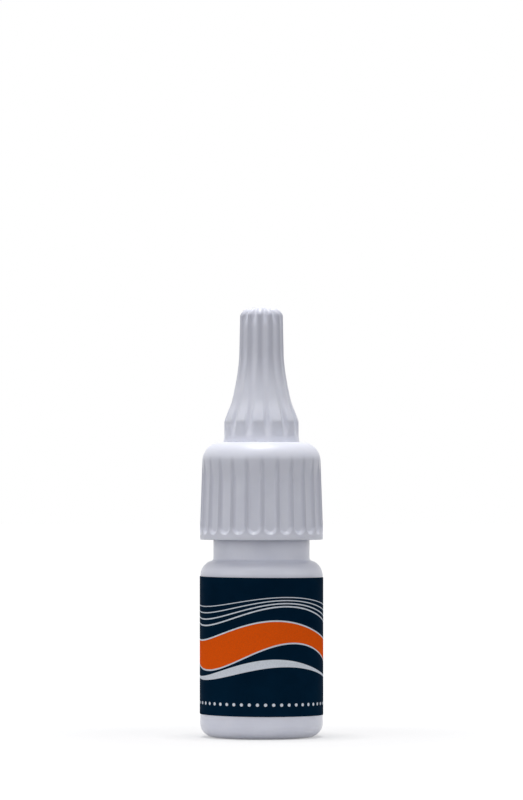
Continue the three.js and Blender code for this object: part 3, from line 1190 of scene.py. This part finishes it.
@dataclass
class ScrewCollar(Piece):
    """The white ring nut: slim upright ribs between sunk panels that end in round ledges above a plain rim.

    Attributes:
        rib_turn: Turn of the ribs from the front, in degrees.
        panel_flat: Half width of a panel's floor.
        panel_reach: Half width of a panel at its top.
        panel_foot: Height of a panel's foot above the rim's lower edge.
        ledge_slope: How steeply a panel ends below its foot.
        run_out: Heights between which the panels rise to the ribs.
        shade_fade: Heights between which the ribs lose their painted shade.
        draft: How much slimmer the wall is at its top.
        seat_bore: Radius of the bore round the nozzle's flange.
    """

    name: str = "collar_shell"
    node: str = "screw_collar"
    body: Body = Body.COLLAR
    slot: str = "white_plastic"
    columns: int = 480
    rib_count: int = 24
    rib_turn: float = 0.6
    rib_height: float = 0.62
    panel_flat: float = 0.85
    panel_reach: float = 1.55
    panel_foot: float = 2.99
    ledge_slope: float = 0.78
    run_out: Span = (53.6, 59.4)
    shade_fade: Span = (57.8, 60.2)
    draft: float = 0.48
    edge_radius: float = 4.1
    rim_band: float = 0.5
    ceiling: float = 61.197
    hole: float = 6.4
    seat_bore: float = 10.5
    bore: float = 11.5
    bore_top: float = 58.497
    lead_in: float = 0.5
    thread: Thread = Thread(
        lead=3.2,
        ridge_height=-1.0,
        root=1.8,
        crest=0.8,
        turns=1.5,
        start_turn=0.25,
        start_height=50.897,
        rows=54,
    )

    def finish(self) -> Material:
        """Returns the white plastic."""
        return WHITE_PLASTIC.build()

    def rib_rise(self, angle: float, radius: float, height: float) -> tuple[float, float]:
        """Gives the ribs' and the rim's rise over the sunk panels.

        Args:
            angle: Angle from +X in radians.
            radius: Distance from the axis.
            height: Height above the base.

        Returns:
            The rise in millimetres, and the share of painted rib shade.
        """
        pitch = math.tau / self.rib_count
        from_rib = (angle + math.pi / 2 - math.radians(self.rib_turn)) % pitch
        across = abs(from_rib - pitch / 2) * radius
        above_foot = height - node_levels(self.node)[0]
        ledge = max(0.0, self.panel_foot - above_foot) * self.ledge_slope
        raised = ease(self.panel_flat, self.panel_reach, math.hypot(across, ledge))
        # Painted shade: the ribs' share, which darkens their colour, fades out up the shoulder and over the
        # ledges.
        rib_shade_share = raised * (1 - ease(*self.shade_fade, height)) * (1 - share_of(0.0, self.panel_reach, ledge))
        return self.rib_height * max(raised, ease(*self.run_out, height)), rib_shade_share

    def shape(self) -> BMesh:
        """Turns the collar, up its outside and down its bore, and adds its ribs and its inner thread.

        Returns:
            The collar's mesh.
        """
        bottom, top, reach = node_levels(self.node)
        rim = reach - self.rib_height
        wall = rim - self.draft
        edge_centre = (wall - self.edge_radius, top - self.edge_radius)
        seat_foot = self.bore_top + self.bore - self.seat_bore
        drawn = Outline().to(self.bore + self.lead_in, bottom)
        drawn.to(rim, bottom, soft=0.22, zone=Zone.RIBS).to(rim, bottom + self.rim_band, zone=Zone.RIBS)
        drawn.run(rim, bottom + self.panel_foot, rows=28, zone=Zone.RIBS)
        drawn.run(wall, edge_centre[1], rows=26, zone=Zone.RIBS)
        drawn.arc(edge_centre, self.edge_radius, sweep=(0, 90), steps=24, zone=Zone.RIBS)
        drawn.to(self.hole, top, soft=0.2).to(self.hole, self.ceiling, soft=0.2)
        drawn.to(self.seat_bore, self.ceiling, soft=0.15).to(self.seat_bore, seat_foot, soft=0.2)
        drawn.to(self.bore, self.bore_top).to(self.bore, self.thread.top())
        drawn.run(self.bore, self.thread.foot(), self.thread.rows, Zone.THREAD)
        drawn.to(self.bore, bottom + self.lead_in)
        mesh = drawn.turned(self.columns, closed=True)
        grow(mesh, Zone.THREAD, self.thread.rise)
        grow(mesh, Zone.RIBS, self.rib_rise)
        return mesh


@dataclass
class Overcap(Piece):
    """The white cap: a slim fluted shaft that flares into broad pads above its plain rim.

    Attributes:
        rib_turn: Turn of the ribs from the front, in degrees.
        rim_sink: How far the rim sits below the node's lower edge, in the collar's shoulder.
        flare_foot: Radius of the channels' floor where the flare starts.
        flare_turn: Height over the flare's start where its two slopes would meet.
        pad_flat: Half width of a pad's top.
        pad_reach: Half width of a pad at its foot.
        pad_spread: How much wider the pads get below the flare.
        pad_blend: Shares of the flare's height between which the pads go over into ribs.
        shaft_blend: Shares of the flare's height between which the ribs get their height on the shaft.
        shade_blend: Shares of the flare's height between which the ribs get their painted shade.
        rib_fade: Distances from the top between which the ribs end.
        channel_sink: How much deeper the channels are at the top.
        sink_span: Distances from the top between which they get deeper.
        stub_foot: Radius of the broken gate's foot in the middle of the top.
        stub_sink: How far the broken gate's edge lies below the top.
        stub_crown: How far its middle lies below the top.
    """

    name: str = "cap_shell"
    node: str = "overcap"
    body: Body = Body.CAP
    slot: str = "white_plastic"
    columns: int = 384
    rib_count: int = 12
    rib_turn: float = 25.0
    rim_height: float = 1.1
    rim_draft: float = 0.17
    rim_sink: float = 0.06
    flare_start: float = 66.997
    flare_foot: float = 7.15
    flare_turn: float = 11.2
    bore: float = 6.4
    shaft_foot: float = 81.597
    shaft_foot_radius: float = 4.42
    shaft_radius: float = 4.25
    edge_radius: float = 1.8
    pad_rise: float = 0.8
    flare_rise: float = 0.20
    shaft_rise: float = 0.32
    pad_flat: float = 0.85
    pad_reach: float = 1.75
    pad_spread: float = 0.2
    pad_blend: Span = (0.0, 0.35)
    shaft_flat: float = 0.15
    shaft_reach: float = 1.0
    shaft_blend: Span = (0.5, 1.0)
    shade_blend: Span = (0.35, 1.0)
    rib_fade: Span = (1.7, 0.1)
    channel_sink: float = 0.5
    sink_span: Span = (4.2, 0.8)
    wall: float = 1.0
    ceiling: float = 89.897
    shaft_bore: float = 3.25
    boss_radius: float = 1.47
    boss_foot: float = 87.697
    socket_radius: float = 0.67
    socket_top: float = 90.497
    gate_radius: float = 1.5
    gate_depth: float = 0.25
    stub_foot: float = 0.55
    stub_radius: float = 0.45
    stub_sink: float = 0.06
    stub_crown: float = 0.03
    thread: Thread = Thread(
        lead=2.0,
        ridge_height=-0.7,
        root=0.9,
        crest=0.5,
        turns=1.0,
        start_turn=0.5,
        start_height=63.697,
        rows=34,
    )

    def finish(self) -> Material:
        """Returns the white plastic."""
        return WHITE_PLASTIC.build()

    def rib_rise(self, angle: float, radius: float, height: float) -> tuple[float, float]:
        """Gives the ribs' rise over the channels between them.

        Args:
            angle: Angle from +X in radians.
            radius: Distance from the axis.
            height: Height above the base.

        Returns:
            The rise in millimetres, and the share of painted rib shade.
        """
        pitch = math.tau / self.rib_count
        from_rib = (angle + math.pi / 2 - math.radians(self.rib_turn) + pitch / 2) % pitch - pitch / 2
        bottom, top, reach = node_levels(self.node)
        along = share_of(self.flare_start, self.shaft_foot, height)
        spread = self.pad_spread * share_of(self.flare_start, bottom + self.rim_height, height)
        flat = mix(self.pad_flat, self.shaft_flat, along) + spread
        foot = mix(self.pad_reach, self.shaft_reach, along) + spread
        rise = mix(self.pad_rise, self.flare_rise, ease(*self.pad_blend, along))
        rise = mix(rise, self.shaft_rise, ease(*self.shaft_blend, along))
        if height < self.flare_start:
            rise = max(0.0, reach - self.rim_draft - radius)
        fade = 1 - ease(top - self.rib_fade[0], top - self.rib_fade[1], height)
        crest = 1 - ease(flat, foot, abs(from_rib) * radius)
        sink = self.channel_sink * ease(top - self.sink_span[0], top - self.sink_span[1], height)
        # Painted shade: the second value darkens the ribs' colour, fading in up the flare and out at the top.
        return rise * fade * crest - sink * (1 - crest), fade * crest * ease(*self.shade_blend, along)

    def shape(self) -> BMesh:
        """Turns the cap, down its inside and up its outside, and adds its inner thread and its ribs.

        Returns:
            The cap's mesh.
        """
        bottom, top, reach = node_levels(self.node)
        rim_foot = bottom - self.rim_sink
        turn_height = self.flare_start + self.flare_turn
        shaft_foot = (self.shaft_foot_radius, self.shaft_foot)
        inner_foot_radius = self.shaft_foot_radius - self.wall
        edge_centre = (self.shaft_radius - self.edge_radius, top - self.edge_radius)
        gate_floor = top - self.gate_depth
        drawn = Outline().to(0, self.socket_top).to(self.socket_radius, self.socket_top)
        drawn.to(self.socket_radius, self.boss_foot, soft=0.12)
        drawn.to(self.boss_radius, self.boss_foot, soft=0.12)
        drawn.to(self.boss_radius, self.ceiling, soft=0.2).to(self.shaft_bore, self.ceiling, soft=0.3)
        drawn.to(inner_foot_radius, self.shaft_foot)
        drawn.flare((inner_foot_radius, turn_height), (self.bore, self.flare_start), steps=14)
        drawn.to(self.bore, self.thread.top())
        drawn.run(self.bore, self.thread.foot(), self.thread.rows, Zone.THREAD)
        drawn.to(self.bore, rim_foot, soft=0.2).to(reach, rim_foot, soft=0.04)
        drawn.to(reach - self.rim_draft, bottom + self.rim_height)
        drawn.run(self.flare_foot, self.flare_start, rows=26, zone=Zone.RIBS)
        drawn.flare((self.shaft_foot_radius, turn_height), shaft_foot, steps=40, zone=Zone.RIBS)
        drawn.run(self.shaft_radius, edge_centre[1], rows=24, zone=Zone.RIBS)
        drawn.arc(edge_centre, self.edge_radius, sweep=(0, 90), steps=14, zone=Zone.RIBS)
        drawn.to(self.gate_radius, top, soft=0.1)
        drawn.to(self.gate_radius - self.gate_depth, gate_floor, soft=0.1)
        drawn.to(self.stub_foot, gate_floor, soft=0.08)
        drawn.to(self.stub_radius, top - self.stub_sink, soft=0.05).to(0, top - self.stub_crown)
        mesh = drawn.turned(self.columns, closed=False)
        grow(mesh, Zone.THREAD, self.thread.rise)
        grow(mesh, Zone.RIBS, self.rib_rise)
        return mesh


@dataclass
class ClearingPin(Piece):
    """The steel pin in the cap that keeps the outlet open."""

    name: str = "pin_wire"
    node: str = "clearing_pin"
    body: Body = Body.PIN
    slot: str = "pin_steel"
    columns: int = 40
    point: float = 0.6
    tip_radius: float = 0.12

    def finish(self) -> Material:
        """Returns the drawn steel."""
        return DrawnSteel().build()

    def shape(self) -> BMesh:
        """Turns the pin with a rounded point.

        Returns:
            The pin's mesh.
        """
        bottom, top, radius = node_levels(self.node)
        drawn = Outline().to(0, bottom).to(self.tip_radius, bottom, soft=0.08)
        drawn.to(radius, bottom + self.point, soft=0.2).run(radius, top - self.point, rows=8)
        drawn.to(radius, top, soft=0.12).to(0, top)
        return drawn.turned(self.columns, closed=False)


@dataclass(frozen=True)
class Lamp:
    """A large soft round lamp that is turned to the bottle.

    Attributes:
        name: Its name.
        place: Where it hangs.
        size: Its width.
        power: Its power in watts.
    """

    name: str
    place: Place
    size: float
    power: float

    def hang(self, aim: Place, colour: Place) -> None:
        """Hangs the lamp.

        Args:
            aim: The point that it is turned to.
            colour: Red, green and blue of its light.
        """
        data = bpy.data.lights.new(self.name, "AREA")
        data.shape = "DISK"
        data.size = self.size
        data.energy = self.power
        data.color = colour
        lamp = bpy.data.objects.new(self.name, data)
        lamp.location = self.place
        lamp.rotation_euler = (Vector(aim) - Vector(self.place)).to_track_quat("-Z", "Y").to_euler()
        lamp.visible_camera = False
        bpy.context.scene.collection.objects.link(lamp)


@dataclass
class Studio:
    """The pale floor, the soft lights and the camera at the photograph's angle.

    Attributes:
        floor_half: Half of the floor's width.
        lamps: The lamps.
        aim: The point that the lamps are turned to.
        lamp_colour: Red, green and blue of the lamps' light.
        fill_colour: Colour of the weak light from all around.
        camera_place: Where the camera stands.
        camera_pitch: Its angle from straight down, in degrees.
        lens: Its focal length in millimetres.
    """

    floor_half: float = 6.0
    lamps: tuple[Lamp, ...] = (
        Lamp("top_light", place=(-0.02, 0.01, 1.245), size=0.45, power=11.0),
        Lamp("left_light", place=(-1.065, -0.746, 0.25), size=1.6, power=7.35),
        Lamp("right_light", place=(1.065, -0.746, 0.25), size=1.6, power=5.75),
    )
    aim: Place = (0.0, 0.0, 0.045)
    lamp_colour: Place = (1.0, 0.995, 0.985)
    fill_colour: Colour = (0.275, 0.282, 0.310, 1)
    camera_place: Place = (0.0, -0.896, 0.0519)
    camera_pitch: float = 91.27
    lens: float = 189.0

    def build(self) -> None:
        """Lays the floor and sets up the lights, the world and the camera."""
        self.lay_floor()
        for lamp in self.lamps:
            lamp.hang(self.aim, self.lamp_colour)
        self.surround()
        self.place_camera()
        bpy.context.scene.view_settings.view_transform = "Standard"

    def lay_floor(self) -> None:
        """Makes the floor."""
        mesh = bmesh.new()
        bmesh.ops.create_grid(mesh, x_segments=1, y_segments=1, size=self.floor_half)
        data = bpy.data.meshes.new("studio_floor")
        mesh.to_mesh(data)
        mesh.free()
        data.materials.append(StudioFloor().build())
        floor = bpy.data.objects.new("studio_floor", data)
        bpy.context.scene.collection.objects.link(floor)

    def surround(self) -> None:
        """Sets a weak fill for the object and white for the eye."""
        world = bpy.data.worlds.new("studio_world")
        world.use_nodes = True
        bpy.context.scene.world = world
        graph = Graph(world.node_tree)
        colour = graph.tint(seen_rays(graph), self.fill_colour, WHITE)
        back = graph.node("Background", {"Color": colour, "Strength": 1.0})
        graph.node("OutputWorld", {"Surface": back.outputs[0]})

    def place_camera(self) -> None:
        """Puts the camera at the photograph's distance, height and tilt."""
        data = bpy.data.cameras.new("studio_camera")
        data.lens = self.lens
        camera = bpy.data.objects.new("studio_camera", data)
        camera.location = self.camera_place
        camera.rotation_euler = (math.radians(self.camera_pitch), 0, 0)
        bpy.context.scene.collection.objects.link(camera)
        bpy.context.scene.camera = camera


def main() -> None:
    """Builds the studio and every piece."""
    logging.basicConfig(level=logging.INFO, format="%(name)s %(message)s")
    Studio().build()
    for piece in (Bottle(), Label(), GelFill(), Nozzle(), ScrewCollar(), Overcap(), ClearingPin()):
        piece.build()


if __name__ == "__main__":
    main()
